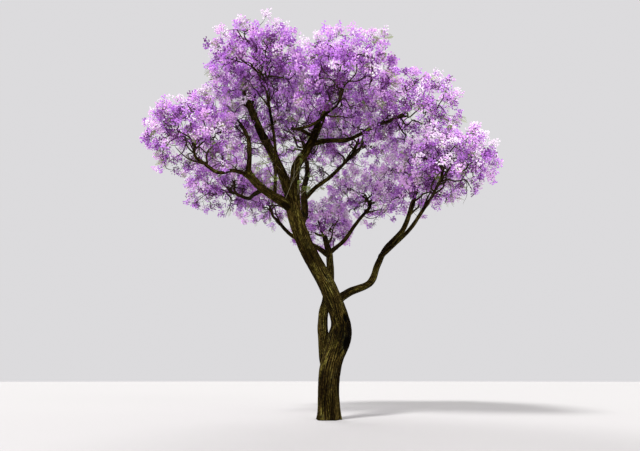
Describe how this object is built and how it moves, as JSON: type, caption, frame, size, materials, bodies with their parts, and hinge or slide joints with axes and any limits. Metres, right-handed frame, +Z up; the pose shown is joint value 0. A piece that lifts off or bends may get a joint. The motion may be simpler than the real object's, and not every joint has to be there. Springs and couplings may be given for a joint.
{
  "type": "jacaranda tree",
  "caption": "Old street jacaranda in full violet blossom: bent trunk, low rear stem, high fork and a wide, round, open crown.",
  "frame": {"origin": "middle of the trunk's flat cut at ground level", "axes": "+Z up, +X to the right and -Y towards the viewer as the tree is seen in the picture"},
  "size_m": [15.7286, 14.9672, 17.568],
  "materials": {
    "bark": "deeply furrowed, dull",
    "blossom": "soft petals, dull"
  },
  "bodies": {
    "root": {"trunk": "bark", "bough_centre": "bark", "bough_right_up": "bark", "bough_left": "bark", "bough_back": "bark", "branch_middle": "bark", "bough_rear": "bark", "bough_rear_left": "bark", "bough_rear_right": "bark", "bough_right": "bark", "branch_right_low": "bark", "branch_right_high": "bark", "branch_left_up": "bark", "branch_left_out": "bark", "branch_left_back": "bark", "branch_slender": "bark", "branch_crook": "bark", "blossom_top_left": "blossom", "blossom_top_centre": "blossom", "blossom_top_right": "blossom", "blossom_top_back": "blossom", "blossom_top_middle": "blossom", "blossom_left": "blossom", "blossom_left_back": "blossom", "blossom_front": "blossom", "blossom_front_right": "blossom", "blossom_right_high": "blossom", "blossom_right": "blossom", "blossom_right_low": "blossom", "blossom_back_right": "blossom", "blossom_back": "blossom", "blossom_back_left": "blossom"}
  },
  "joints": []
}
